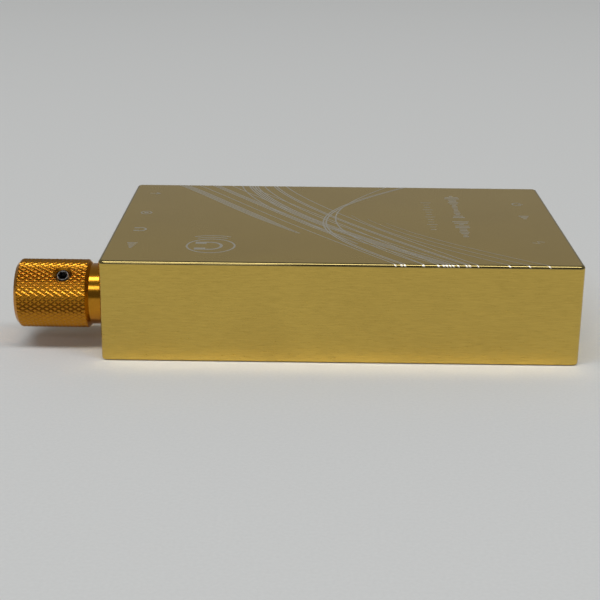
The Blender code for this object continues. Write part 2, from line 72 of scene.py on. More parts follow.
# ---- case ----
WALL = 2.4 * MM
SIDE_RADIUS = 1.5 * MM
CORNER_FACETS = 8
TOP_RADIUS = 0.75 * MM
BOTTOM_RADIUS = 0.6 * MM
RIM = 1.1 * MM
LEDGE = 1.7 * MM
CEILING = TOP - WALL
INNER_X = REAR - WALL
INNER_Y = FAR - WALL
POST_REACH = 3.6 * MM
POST_HEIGHT = 30 * MM
MID_POST_WIDTH = 3.8 * MM
BOARD_POST_RADIUS = 2.6 * MM
TAPPED_RADIUS = 1.06 * MM
TAP_DEPTH = 7 * MM
BOARD_TAP = (5 * MM, 12.8 * MM)
HOLE_CHAMFER = 0.18 * MM
CUT_OUT = 0.4 * MM
CUT_IN = -1.5 * WALL
BUSH_RADIUS = 3.55 * MM
SWITCH_WINDOW = (2.1 * MM, 5.0 * MM, 0.3 * MM)
FIT = 0.15 * MM
SWITCHES = ("power", "gain")

# ---- fasteners ----
SCREW_RADIUS = 0.98 * MM
SCREW_HEAD_RADIUS = 1.8 * MM
SCREW_SOCKET_RADIUS = 0.7 * MM
CLEAR_RADIUS = 1.18 * MM
THREAD_PITCH = 0.4 * MM
THREAD_DEPTH = 0.16 * MM
LEAD_IN = 0.3 * MM
BASE_SCREWS = [f"base_screw_{i}" for i in range(1, 7)]
BOARD_SCREWS = [f"board_screw_{i}" for i in range(1, 5)]

# ---- jacks ----
BEHIND_WALL = 2.55 * MM
FLANGE_THICKNESS = 0.85 * MM
BARREL_END = 1.4 * MM
SMALL_JACK = {"bore": 1.8 * MM, "thread": 2.95 * MM, "poles": 3}
LARGE_JACK = {"bore": 2.26 * MM, "thread": 3.95 * MM, "poles": 5}
JACKS = {"phone": SMALL_JACK, "balanced": LARGE_JACK, "line": SMALL_JACK}

# ---- knob ----
KNURL_ROWS = 42
KNURL_PITCH = 1.86 * MM
KNURL_GROOVE = 0.6
KNURL_DEPTH = 0.205 * MM
KNURL_FINE = 8
NECK_RADIUS = 7.2 * MM
NECK_END = 3.4 * MM
CHAMFER = 0.9 * MM
BORE_RADIUS = 3.06 * MM
BORE_END = 14.4 * MM
HOLLOW_RADIUS = 6.3 * MM
SET_SCREW_AT = 9.56 * MM
SET_SCREW_ANGLE = math.radians(52.2)
SET_SCREW_RADIUS = 1.5 * MM
SET_SCREW_TOP = 7.4 * MM
SET_SCREW_TIP = 2.6 * MM
SOCKET_RADIUS = 1.12 * MM
DISH_RADIUS = 6.4 * MM
DISH_DEPTH = 0.25 * MM
LAND_CREASE, PLAIN_CREASE = math.radians(20), math.radians(28)


# ==== mesh helpers ====
def add_object(name, data, place=None):
    thing = bpy.data.objects.new(name, data)
    bpy.context.scene.collection.objects.link(thing)
    if place is not None:
        thing.matrix_world = place
    return thing


def from_bmesh(name, work, place=None):
    mesh = bpy.data.meshes.new(name)
    bmesh.ops.recalc_face_normals(work, faces=work.faces)
    work.to_mesh(mesh)
    work.free()
    return add_object(name, mesh, place)


def at(x, y, z):
    return Matrix.Translation((x, y, z))


def plan(node, z=0.0):
    """A place over a CAD node's middle."""
    return at(centre(node).x, centre(node).y, z)


def outwards(y):
    """A frame on the front face: local Z points out of the case, local X points up."""
    return at(FRONT, y, AXIS_Z) @ Matrix.Rotation(-math.pi / 2, 4, "Y")


def rearwards(node, x=REAR):
    """A frame in line with a CAD node: local Z points out of the rear face, local X down."""
    return at(x, *centre(node).yz) @ Matrix.Rotation(math.pi / 2, 4, "Y")


def block(name, sizes, place=None, side=0.0, top=0.0, bottom=0.0, segments=4):
    """A box whose upright, top and bottom edges each have their own rounding."""
    work = bmesh.new()
    bmesh.ops.create_cube(work, size=1.0)
    bmesh.ops.scale(work, vec=sizes, verts=work.verts)
    half = sizes[2] / 2

    def level(edge, z):
        return all(abs(vertex.co.z - z) < 1e-8 for vertex in edge.verts)

    def soften(edges, radius):
        if radius:
            bmesh.ops.bevel(work, geom=edges, offset=radius, segments=segments,
                            affect="EDGES", profile=0.5)

    soften([e for e in work.edges if not level(e, half) and not level(e, -half)], side)
    soften([e for e in work.edges if level(e, half)], top)
    soften([e for e in work.edges if level(e, -half)], bottom)
    return from_bmesh(name, work, place)


def softened(points, radii, steps=5):
    """An outline of (r, z) points with each corner rounded by its own radius."""
    made = []
    for index, (point, radius) in enumerate(zip(points, radii)):
        corner = Vector(point)
        if not radius or index in (0, len(points) - 1):
            made.append(corner)
            continue
        before = (Vector(points[index - 1]) - corner).normalized()
        after = (Vector(points[index + 1]) - corner).normalized()
        for step in range(steps + 1):
            share = step / steps
            from_side = corner + before * radius * (1 - share)
            to_side = corner + after * radius * share
            made.append(from_side * (1 - share) + to_side * share)
    return [tuple(point) for point in made]


def thread(radius, top, bottom, pitch=THREAD_PITCH, depth=THREAD_DEPTH):
    """The outer side of a fine thread, as V grooves from one height down to another."""
    count = max(1, round((top - bottom) / pitch))
    step = (top - bottom) / count
    points = [(radius, top)]
    for index in range(count):
        points.append((radius - depth, top - (index + 0.5) * step))
        points.append((radius, top - (index + 1) * step))
    return points


def lathe(name, outline, place=None, steps=64, ring=False, fluted=None):
    """A solid turned about local Z from (radius, height) points down its outer side. fluted is
    (radius, depth): every second column of points beyond that radius is pushed in."""
    work = bmesh.new()
    rows = []
    for radius, height in outline:
        if radius < 1e-9:
            rows.append([work.verts.new((0, 0, height))])
            continue
        row = []
        for i in range(steps):
            reach = radius
            if fluted and i % 2 and radius > fluted[0]:
                reach -= fluted[1]
            turn = 2 * math.pi * i / steps
            row.append(work.verts.new((reach * math.cos(turn), reach * math.sin(turn), height)))
        rows.append(row)
    pairs = list(zip(rows, rows[1:]))
    if ring:
        pairs.append((rows[-1], rows[0]))
    for upper, lower in pairs:
        for i in range(steps):
            j = (i + 1) % steps
            if len(upper) == 1:
                work.faces.new((upper[0], lower[i], lower[j]))
            elif len(lower) == 1:
                work.faces.new((upper[i], lower[0], upper[j]))
            else:
                work.faces.new((upper[i], lower[i], lower[j], upper[j]))
    return from_bmesh(name, work, place)


def bar_outline(radius, low, high):
    return [(0, high), (radius, high), (radius, low), (0, low)]


def rod(name, radius, low, high, place=None, steps=64):
    return lathe(name, bar_outline(radius, low, high), place, steps)


def rounded_outline(width, height, radius, steps=6):
    """Points round a rectangle with round corners, width along local X."""
    points = []
    for quarter, (sx, sy) in enumerate(((1, 1), (-1, 1), (-1, -1), (1, -1))):
        corner_x, corner_y = sx * (width / 2 - radius), sy * (height / 2 - radius)
        for step in range(steps + 1):
            turn = math.pi / 2 * (quarter + step / steps)
            points.append((corner_x + radius * math.cos(turn),
                           corner_y + radius * math.sin(turn)))
    return points


def loft(name, width, height, radius, levels, place=None):
    """A solid through rounded rectangles. Each level is (how far it is grown, local Z)."""
    work = bmesh.new()
    rings = []
    for grow, z in levels:
        outline = rounded_outline(width + 2 * grow, height + 2 * grow, radius + grow)
        rings.append([work.verts.new((x, y, z)) for x, y in outline])
    for lower, upper in zip(rings, rings[1:]):
        for i, j in zip(range(len(lower)), [*range(1, len(lower)), 0]):
            work.faces.new((lower[i], lower[j], upper[j], upper[i]))
    work.faces.new(rings[0])
    work.faces.new(rings[-1])
    return from_bmesh(name, work, place)


def carve(thing, cutters):
    """Cuts each cutter from a piece and removes the cutters."""
    for cutter in cutters:
        step = thing.modifiers.new("carve", "BOOLEAN")
        step.object = cutter
        step.operation = "DIFFERENCE"
        step.solver = "EXACT"
    bpy.context.view_layer.update()
    graph = bpy.context.evaluated_depsgraph_get()
    mesh = bpy.data.meshes.new_from_object(thing.evaluated_get(graph))
    thing.modifiers.clear()
    old = thing.data
    thing.data = mesh
    mesh.name = thing.name
    bpy.data.meshes.remove(old)
    for cutter in cutters:
        bpy.data.objects.remove(cutter)
    return thing


def merge(name, pieces):
    """One object that holds several closed meshes that don't touch."""
    work = bmesh.new()
    for piece in pieces:
        piece.data.transform(piece.matrix_world)
        work.from_mesh(piece.data)
        bpy.data.objects.remove(piece)
    return from_bmesh(name, work)


def shade(thing, angle=35):
    """Smooth shading that keeps its sharp edges and its flat faces flat."""
    thing.data.shade_smooth()
    thing.data.set_sharp_from_angle(angle=math.radians(angle))
    weighted = thing.modifiers.new("even shading", "WEIGHTED_NORMAL")
    weighted.keep_sharp = True
    weighted.weight = 100
    return thing


def finish(thing, body, material, slot, *nodes):
    """Gives a piece its material, its body and the CAD nodes it stands for. Its slot argument is
    not used.
    """
    if not thing.data.materials:
        thing.data.materials.append(material)
    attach(thing, body)
    if nodes:
        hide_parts(*nodes)
    return thing


def fixed(thing, material, slot, *nodes):
    """Finishes a smooth-shaded piece of the fixed body."""
    return finish(shade(thing), FIXED, material, slot, *nodes)


def dress(material, *nodes):
    """Gives CAD nodes that stay as they are their finished material."""
    for node in nodes:
        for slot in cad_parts[node].material_slots:
            slot.material = material


# ==== materials ====
class Nodes:
    """A wrapper that makes a material's node tree read from left to right."""

    def __init__(self, name):
        self.material = bpy.data.materials.new(name)
        self.material.use_nodes = True
        self.tree = self.material.node_tree
        self.shader = self.tree.nodes["Principled BSDF"]

    def add(self, kind, inputs=None, **settings):
        node = self.tree.nodes.new(kind)
        for key, value in settings.items():
            setattr(node, key, value)
        for key, value in (inputs or {}).items():
            self.set(node.inputs[key], value)
        return node

    def set(self, socket, value):
        if isinstance(value, bpy.types.NodeSocket):
            self.tree.links.new(value, socket)
        else:
            socket.default_value = (*value, 1.0) if socket.type == "RGBA" else value

    def shade(self, **inputs):
        for key, value in inputs.items():
            self.set(self.shader.inputs[key.replace("_", " ")], value)

    def place(self, scale=(1, 1, 1)):
        """Object coordinates, stretched along each axis."""
        coordinates = self.add("ShaderNodeTexCoord")
        mapping = self.add("ShaderNodeMapping", {"Vector": coordinates.outputs["Object"],
                                                 "Scale": scale})
        return mapping.outputs["Vector"]

    def noise(self, vector, scale, detail=2.0, roughness=0.5):
        node = self.add("ShaderNodeTexNoise", {"Vector": vector, "Scale": scale,
                                               "Detail": detail, "Roughness": roughness})
        return node.outputs["Fac"]

    def fit(self, value, low, high, from_low=0.3, from_high=0.7):
        node = self.add("ShaderNodeMapRange", {"Value": value, "From Min": from_low,
                                               "From Max": from_high, "To Min": low,
                                               "To Max": high})
        return node.outputs["Result"]

    def mix(self, share, first, second):
        node = self.add("ShaderNodeMix", data_type="RGBA")
        colours = [socket for socket in node.inputs if socket.type == "RGBA"]
        self.set(node.inputs["Factor"], share)
        self.set(colours[0], first)
        self.set(colours[1], second)
        return next(socket for socket in node.outputs if socket.type == "RGBA")

    def blend(self, pattern, first, second, *span):
        """Goes from one colour to another as a pattern rises over a span."""
        return self.mix(self.fit(pattern, 0, 1, *span), first, second)

    def normal(self, kind, axis):
        """One axis of the surface's Normal or True Normal."""
        geometry = self.add("ShaderNodeNewGeometry")
        parts = self.add("ShaderNodeSeparateXYZ", {"Vector": geometry.outputs[kind]})
        return parts.outputs[axis]

    def bump(self, height, strength, distance):
        node = self.add("ShaderNodeBump", {"Height": height, "Strength": strength,
                                           "Distance": distance})
        self.set(self.shader.inputs["Normal"], node.outputs["Normal"])


def anodised_case():
    """Gold anodised aluminium: the sides are brushed in level lines, and the top is satin."""
    made = Nodes("gold_anodised_case")
    lines = made.noise(made.place((0.06, 0.06, 1.0)), 5000.0, 3.0, 0.75)
    cloud = made.noise(made.place(), 60.0, 3.0)
    grain = made.noise(made.place(), 6000.0, 2.0)
    upright = made.add("ShaderNodeMath", {0: made.normal("True Normal", "Z")},
                       operation="ABSOLUTE")
    level = made.fit(upright.outputs["Value"], 0.0, 1.0, from_low=0.6, from_high=0.9)
    texture = made.mix(level, lines, grain)
    # On the sides the colour darkens along the brush lines as painted shade for their fine
    # grooves; on the top it darkens in a fine random grain.
    plain = made.blend(cloud, (0.70, 0.485, 0.108), (0.66, 0.455, 0.102))
    grain_and_groove_shade = made.blend(cloud, (0.61, 0.425, 0.092), (0.57, 0.395, 0.086))
    made.shade(Base_Color=made.blend(texture, plain, grain_and_groove_shade, 0.35, 0.65), Metallic=1.0,
               Roughness=made.fit(texture, 0.14, 0.3))
    made.bump(texture, 0.6, 0.00002)
    return made.material


def circuit_board():
    """Green solder mask over copper tracks that show as paler, slightly raised lines."""
    made = Nodes("green_solder_mask")
    cells = made.add("ShaderNodeTexVoronoi", {"Vector": made.place(), "Scale": 420.0},
                     distance="MANHATTAN", feature="DISTANCE_TO_EDGE")
    tracks = made.fit(cells.outputs["Distance"], 1.0, 0.0, from_low=0.05, from_high=0.12)
    mottle = made.noise(made.place(), 900.0, 3.0)
    made.shade(Base_Color=made.mix(tracks, (0.008, 0.075, 0.032), (0.02, 0.15, 0.06)),
               Roughness=made.fit(mottle, 0.28, 0.42), Coat_Weight=0.4, Coat_Roughness=0.2)
    made.bump(tracks, 0.4, 0.00003)
    return made.material


def shrink_sleeve():
    """A dark printed sleeve with the pale stripe that marks a capacitor's negative side."""
    made = Nodes("capacitor_sleeve")
    stripe = made.fit(made.normal("Normal", "Y"), 0.0, 1.0, from_low=0.9, from_high=0.93)
    mottle = made.noise(made.place(), 1200.0, 3.0)
    made.shade(Base_Color=made.mix(stripe, (0.02, 0.025, 0.05), (0.55, 0.56, 0.60)),
               Roughness=made.fit(mottle, 0.28, 0.4))
    return made.material


def grained(name, first, second, low, high, scale=1500.0, detail=3.0, dent=0.0, **inputs):
    """A finish whose colour and roughness drift in a fine noise. dent is how deep it dents."""
    made = Nodes(name)
    grain = made.noise(made.place(), scale, detail)
    made.shade(Base_Color=made.blend(grain, first, second),
               Roughness=made.fit(grain, low, high), **inputs)
    if dent:
        made.bump(grain, 0.3, dent)
    return made.material


def metal(*look, **inputs):
    return grained(*look, **{"Metallic": 1.0, **inputs})


def moulded(name, first, second, low=0.35, high=0.5, scale=2500.0, dent=0.00002):
    return grained(name, first, second, low, high, scale, 4.0, dent)


GOLD = anodised_case()
# The bright cut round the case's top and its holes, machined after the brushing. Its colour is
# darker than the case's: painted shade that deepens the dark line under the edge's highlight and
# dims the highlight.
EDGE = metal("gold_polished_edge", (0.34, 0.265, 0.10), (0.31, 0.24, 0.09), 0.05, 0.07, 700.0)
# Orange-gold anodised aluminium under its clear sealed layer.
SEALED = {"Coat_Weight": 0.2, "Coat_Roughness": 0.12}
KNOB = metal("orange_gold_anodised", (0.55, 0.235, 0.012), (0.485, 0.202, 0.010), 0.13, 0.2,
             2600.0, **SEALED)
# The knurl's copy is darker than the knob's: painted shade for its grooves and for the dark its
# facets reflect.
SHADED_KNURL = metal("orange_gold_knurl", (0.50, 0.212, 0.010), (0.44, 0.182, 0.008), 0.18, 0.26,
              2600.0, **SEALED)
# Bare aluminium where the gold layer is burnt away.
ETCHED = metal("laser_etched_mark", (0.82, 0.77, 0.66), (0.73, 0.68, 0.57), 0.3, 0.42, 5000.0)
STEEL = metal("plain_steel", (0.56, 0.56, 0.56), (0.44, 0.44, 0.45), 0.2, 0.34)
DARK_STEEL = metal("blackened_steel", (0.13, 0.125, 0.12), (0.08, 0.078, 0.076), 0.26, 0.38)
BRASS = metal("gold_plated_brass", (0.83, 0.62, 0.26), (0.76, 0.55, 0.2), 0.14, 0.24)
ZINC = metal("die_cast_zinc", (0.64, 0.65, 0.67), (0.52, 0.53, 0.55), 0.28, 0.42)
BLACK = moulded("black_moulded_plastic", (0.02, 0.02, 0.022), (0.03, 0.03, 0.032))
PALE = moulded("pale_moulded_plastic", (0.74, 0.72, 0.64), (0.66, 0.64, 0.56))
BOARD = circuit_board()
WRAP = metal("battery_foil", (0.50, 0.52, 0.55), (0.38, 0.40, 0.43), 0.26, 0.5, 260.0,
             Metallic=0.7)
FOAM = moulded("grey_foam", (0.07, 0.07, 0.075), (0.035, 0.035, 0.04), 0.85, 0.98, 1400.0, 0.0002)
SLEEVE = shrink_sleeve()
FILM = moulded("red_epoxy", (0.46, 0.03, 0.02), (0.36, 0.02, 0.015), 0.22, 0.34)
CHIP = moulded("chip_epoxy", (0.022, 0.022, 0.024), (0.035, 0.035, 0.037), 0.5, 0.65)
RED = moulded("red_insulation", (0.5, 0.012, 0.01), (0.42, 0.01, 0.008))
DARK = moulded("black_insulation", (0.016, 0.016, 0.016), (0.026, 0.026, 0.026))
CLEAR = grained("clear_light_pipe", (0.80, 0.88, 0.92), (0.72, 0.82, 0.88), 0.12, 0.2, 2000.0,
                2.0, Transmission_Weight=0.5, IOR=1.49)


# ==== case ====
def hole(name, radius, place, steps=64):
    """A cutter for a round hole with a small chamfer at the outer face."""
    return lathe(name, [(0, CUT_OUT), (radius + HOLE_CHAMFER + CUT_OUT, CUT_OUT),
                        (radius, -HOLE_CHAMFER), (radius, CUT_IN), (0, CUT_IN)], place, steps)


def window(name, width, height, radius, place):
    """A cutter for a slot with round corners and a small chamfer at the outer face."""
    return loft(name, width, height, radius, [
        (0, CUT_IN), (0, -HOLE_CHAMFER), (HOLE_CHAMFER + CUT_OUT, CUT_OUT)], place)


def base_posts():
    """Where the six posts for the base screws stand."""
    made = []
    for node in BASE_SCREWS:
        spot = centre(node)
        middle = abs(spot.x) < MM
        wide = MID_POST_WIDTH if middle else 2 * POST_REACH
        x = 0 if middle else math.copysign(INNER_X, spot.x)
        place = at(x, math.copysign(INNER_Y, spot.y), POST_HEIGHT / 2)
        made.append(block("post", (wide, 2 * POST_REACH, POST_HEIGHT), place, side=0.8 * MM))
    return made


def bevel_faces_polished(shell):
    """The top's rounded edge and the holes' chamfers take the polished material."""
    for face in shell.data.polygons:
        spot, normal = shell.matrix_world @ face.center, face.normal
        top_edge = 0.02 < normal.z < 0.9995 and spot.z > TOP - 1.02 * TOP_RADIUS
        inside = abs(spot.y) < FAR - 2 * SIDE_RADIUS and 2 * MM < spot.z < TOP - 2 * MM
        chamfer = inside and 0.2 < abs(normal.x) < 0.95 and abs(spot.x) > REAR - 2 * HOLE_CHAMFER
        face.material_index = int(top_edge or chamfer)


def make_case():
    length, width = size("case_shell").xy
    shell = block("case_body", (length, width, TOP), at(0, 0, TOP / 2), side=SIDE_RADIUS,
                  top=TOP_RADIUS, bottom=BOTTOM_RADIUS, segments=CORNER_FACETS)
    cavity = block("cavity", (2 * INNER_X, 2 * INNER_Y, CEILING - MM),
                   at(0, 0, (CEILING + MM) / 2), side=1.5 * MM)
    board_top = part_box("main_board")[1].z
    stands = [rod("stand", BOARD_POST_RADIUS, board_top + 0.1 * MM, TOP, plan(node), 32)
              for node in BOARD_SCREWS]
    carve(cavity, base_posts() + stands)
    rebate = block("rebate", (length - 2 * RIM, width - 2 * RIM, 2 * LEDGE), side=0.9 * MM)
    cutters = [cavity, rebate]
    cutters += [rod("tap", TAPPED_RADIUS, 0, TAP_DEPTH, plan(node), 32) for node in BASE_SCREWS]
    cutters += [rod("tap", TAPPED_RADIUS, *BOARD_TAP, plan(node), 32) for node in BOARD_SCREWS]
    cutters.append(hole("bush_hole", BUSH_RADIUS + 0.05 * MM, outwards(KNOB_Y)))
    for name, sizes in JACKS.items():
        y = centre(f"{name}_jack_barrel").y
        cutters.append(hole(f"{name}_hole", sizes["thread"] + FIT, outwards(y), 96))
    for name in SWITCHES:
        place = rearwards(f"{name}_switch_body")
        cutters.append(window(f"{name}_slot", *SWITCH_WINDOW, place))
    port = size("usb_port")
    cutters.append(window("port_hole", port.z + 0.4 * MM, port.y + 0.4 * MM, 1.5 * MM,
                          rearwards("usb_port")))
    cutters.append(hole("light_hole", size("light_pipe").z / 2 + 0.1 * MM,
                        rearwards("light_pipe"), 32))
    carve(shell, cutters)
    shell.data.materials.append(GOLD)
    shell.data.materials.append(EDGE)
    bevel_faces_polished(shell)
    fixed(shell, GOLD, "case_gold", "case_shell")


def make_base_plate():
    plate = block("underside_plate", size("base_plate"), at(0, 0, centre("base_plate").z),
                  side=0.75 * MM, bottom=0.25 * MM, segments=6)
    wide = SCREW_HEAD_RADIUS + 0.12 * MM
    sink = [(0, 2 * MM), (CLEAR_RADIUS, 2 * MM), (CLEAR_RADIUS, 0.95 * MM), (wide, 0.1 * MM),
            (wide, -MM), (0, -MM)]
    carve(plate, [lathe("countersink", sink, plan(node), 48) for node in BASE_SCREWS])
    fixed(plate, GOLD, "case_gold", "base_plate")


def make_screw(name, node, thread_end, head, socket):
    """A machine screw driven upwards: its thread, then the outline of its head from there
    down, with a hexagon socket cut in it."""
    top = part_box(node)[1].z
    outline = [(0, top), (SCREW_RADIUS - LEAD_IN, top),
               *thread(SCREW_RADIUS, top - LEAD_IN, thread_end), *head]
    screw = lathe(name, outline, plan(node), 48)
    carve(screw, [lathe("socket", socket, plan(node), 6)])
    fixed(screw, STEEL, "steel", node)


def make_base_screws():
    """Countersunk screws that hold the plate."""
    wide, socket = SCREW_HEAD_RADIUS, SCREW_SOCKET_RADIUS
    for index, node in enumerate(BASE_SCREWS, 1):
        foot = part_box(node)[0].z
        make_screw(f"base_fixing_{index}", node, 1.3 * MM,
                   [(SCREW_RADIUS, 0.92 * MM), (wide, 0.24 * MM), (wide, 0.14 * MM),
                    (wide - 0.06 * MM, foot), (0, foot)],
                   [(0, 0.9 * MM), (socket, 0.7 * MM), (socket, 0.2 * MM),
                    (socket + 0.4 * MM, -0.2 * MM), (0, -0.2 * MM)])


def make_board_screws():
    """Pan-head screws that hold the board up against its posts."""
    wide = SCREW_HEAD_RADIUS
    for index, node in enumerate(BOARD_SCREWS, 1):
        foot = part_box(node)[0].z
        neck = foot + 1.2 * MM
        pan = softened([(wide, neck), (wide, foot), (0, foot)], [0, 0.6 * MM, 0])
        make_screw(f"board_fixing_{index}", node, neck + 1.8 * MM,
                   [(SCREW_RADIUS, neck), *pan],
                   bar_outline(SCREW_SOCKET_RADIUS, foot - MM, foot + 0.8 * MM))


make_case()
make_base_plate()
make_base_screws()
make_board_screws()


# ==== knob ====
def knurl_height(along, turn):
    """Share of the knurl's depth at a point: crossed rows of V grooves between flat lands."""
    first = (turn * KNURL_ROWS + along / KNURL_PITCH) % 1
    second = (turn * KNURL_ROWS - along / KNURL_PITCH) % 1
    return min(2 * min(first, 1 - first, second, 1 - second) / KNURL_GROOVE, 1)


def barrel_radius(along, turn):
    knurled = KNOB_RADIUS - KNURL_DEPTH * (1 - knurl_height(along, turn))
    inner_cone = NECK_RADIUS + (along - NECK_END)
    outer_cone = KNOB_RADIUS - CHAMFER + (KNOB_TIP - along)
    return min(knurled, inner_cone, outer_cone)


def make_knob():
    """A turned knob with a diamond knurl between two smooth chamfers."""
    work = bmesh.new()
    around = KNURL_ROWS * KNURL_FINE
    step = KNURL_PITCH / KNURL_FINE
    start = NECK_END + 0.02 * MM
    middle = (start + KNOB_TIP) / 2
    count = int((KNOB_TIP - middle) / step)
    heights = [start] + [middle + i * step for i in range(-count, count + 1)] + [KNOB_TIP]

    def ring(height, radius_at):
        made = []
        for j in range(around):
            radius, turn = radius_at(j / around), 2 * math.pi * j / around
            made.append(work.verts.new((radius * math.cos(turn), radius * math.sin(turn), height)))
        return made

    def close(last, outline):
        """Carries the skin on through (radius, height) points, then shuts it."""
        for radius, height in outline:
            inner = ring(height, lambda turn: radius)
            for j in range(around):
                k = (j + 1) % around
                work.faces.new((last[j], last[k], inner[k], inner[j]))
            last = inner
        middle_point = work.verts.new((0, 0, height))
        for j in range(around):
            work.faces.new((last[j], last[(j + 1) % around], middle_point))

    rows = [ring(height, lambda turn: barrel_radius(height, turn)) for height in heights]
    for low, high, lower, upper in zip(heights, heights[1:], rows, rows[1:]):
        for j in range(around):
            k = (j + 1) % around
            left, right = j / around, (j + 1) / around
            real = barrel_radius((low + high) / 2, (left + right) / 2)
            rising = (barrel_radius(low, left) + barrel_radius(high, right)) / 2
            falling = (barrel_radius(low, right) + barrel_radius(high, left)) / 2
            a, b, c, d = lower[j], lower[k], upper[k], upper[j]
            if abs(rising - real) < abs(falling - real):
                work.faces.new((a, b, c))
                work.faces.new((a, c, d))
            else:
                work.faces.new((a, b, d))
                work.faces.new((b, c, d))
    dish = KNOB_TIP - DISH_DEPTH
    face = softened([(KNOB_RADIUS - CHAMFER, KNOB_TIP), (DISH_RADIUS, KNOB_TIP),
                     (DISH_RADIUS - 0.3 * MM, dish), (2.0 * MM, dish)],
                    [0, 0.1 * MM, 0.1 * MM, 0])
    close(rows[-1], face[1:])
    close(rows[0], [(NECK_RADIUS, NECK_END), (NECK_RADIUS, KNOB_FOOT + 0.15 * MM),
                    (NECK_RADIUS - 0.15 * MM, KNOB_FOOT), (HOLLOW_RADIUS, KNOB_FOOT),
                    (HOLLOW_RADIUS, NECK_END), (BORE_RADIUS, NECK_END), (BORE_RADIUS, BORE_END)])
    knob = from_bmesh("knurled_knob", work, outwards(KNOB_Y))
    clear = SET_SCREW_RADIUS + 0.06 * MM
    recess = [(0, 9 * MM), (3.2 * MM, 9 * MM), (clear, 7.3 * MM), (clear, 2 * MM), (0, 2 * MM)]
    carve(knob, [lathe("set_screw_hole", recess, set_screw_frame(), 48)])
    crease_grooves(knob)
    knob.data.materials.append(KNOB)
    knob.data.materials.append(SHADED_KNURL)
    for face in knob.data.polygons:
        face.material_index = int(on_knurl(face.center))
    finish(knob, TURNING, KNOB, "knob_gold", "volume_knob")


def on_knurl(spot):
    return (NECK_END + CHAMFER < spot.z < KNOB_TIP - CHAMFER
            and math.hypot(spot.x, spot.y) > HOLLOW_RADIUS)


def crease_grooves(knob):
    """Smooth shading that rounds the knurl's ridges and keeps its grooves and corners crisp."""
    knob.data.shade_smooth()
    work = bmesh.new()
    work.from_mesh(knob.data)
    for edge in work.edges:
        spot = (edge.verts[0].co + edge.verts[1].co) / 2
        edge.smooth = edge.calc_face_angle(0.0) < (LAND_CREASE if on_knurl(spot) else PLAIN_CREASE)
    work.to_mesh(knob.data)
    work.free()


def set_screw_frame():
    """Local Z points out along the set screw."""
    direction = Vector((0, -math.cos(SET_SCREW_ANGLE), math.sin(SET_SCREW_ANGLE)))
    turn = direction.to_track_quat("Z", "Y").to_matrix().to_4x4()
    return at(FRONT - SET_SCREW_AT, KNOB_Y, AXIS_Z) @ turn


def make_set_screw():
    rim = 0.22 * MM
    outline = [(0, SET_SCREW_TOP), (SET_SCREW_RADIUS - rim, SET_SCREW_TOP),
               *thread(SET_SCREW_RADIUS, SET_SCREW_TOP - rim, SET_SCREW_TIP + 0.6 * MM, 0.5 * MM),
               (SET_SCREW_RADIUS - 0.5 * MM, SET_SCREW_TIP), (0, SET_SCREW_TIP)]
    screw = lathe("set_screw", outline, set_screw_frame(), 48)
    socket = [(0, 9 * MM), (SOCKET_RADIUS + 0.24 * MM, 9 * MM),
              (SOCKET_RADIUS + 0.12 * MM, SET_SCREW_TOP),
              (SOCKET_RADIUS, SET_SCREW_TOP - 0.14 * MM), (SOCKET_RADIUS, 4.6 * MM),
              (0, 4.1 * MM)]
    carve(screw, [lathe("socket", socket, set_screw_frame(), 6)])
    finish(shade(screw), TURNING, DARK_STEEL, "steel", "knob_set_screw")


make_knob()
make_set_screw()


# ==== jacks ====
def make_ring_nut(name, sizes, place):
    """A round nut with a finely fluted rim and two slots for a pin spanner."""
    outer = size(f"{name}_jack_nut").y / 2
    inner = sizes["thread"] + 0.1 * MM
    outline = softened([(inner, 1.2 * MM), (outer, 1.2 * MM), (outer, 0.1 * MM),
                        (inner, 0.1 * MM)], [0, 0.22 * MM, 0.1 * MM, 0], 3)
    nut = lathe(f"{name}_ring_nut", outline, place, steps=120, ring=True,
                fluted=(outer - 0.05 * MM, 0.1 * MM))
    carve(nut, [block("slot", (20 * MM, 1.0 * MM, 2 * MM), place @ at(0, 0, 1.7 * MM))])
    fixed(nut, BRASS, "brass", f"{name}_jack_nut")


def make_barrel(name, sizes, place):
    """The threaded barrel that holds the jack to the case wall."""
    bore, radius = sizes["bore"], sizes["thread"]
    flange = size(f"{name}_jack_barrel").y / 2
    back = -BEHIND_WALL - FLANGE_THICKNESS
    outline = [(bore + 0.35 * MM, BARREL_END), (radius - 0.2 * MM, BARREL_END),
               *thread(radius, BARREL_END - 0.2 * MM, -BEHIND_WALL + 0.2 * MM),
               (radius, -BEHIND_WALL), (flange, -BEHIND_WALL), (flange, back), (bore, back),
               (bore, BARREL_END - 0.35 * MM), (bore + 0.1 * MM, BARREL_END - 0.12 * MM)]
    barrel = lathe(f"{name}_threaded_barrel", outline, place, steps=72, ring=True)
    fixed(barrel, BRASS, "brass", f"{name}_jack_barrel")


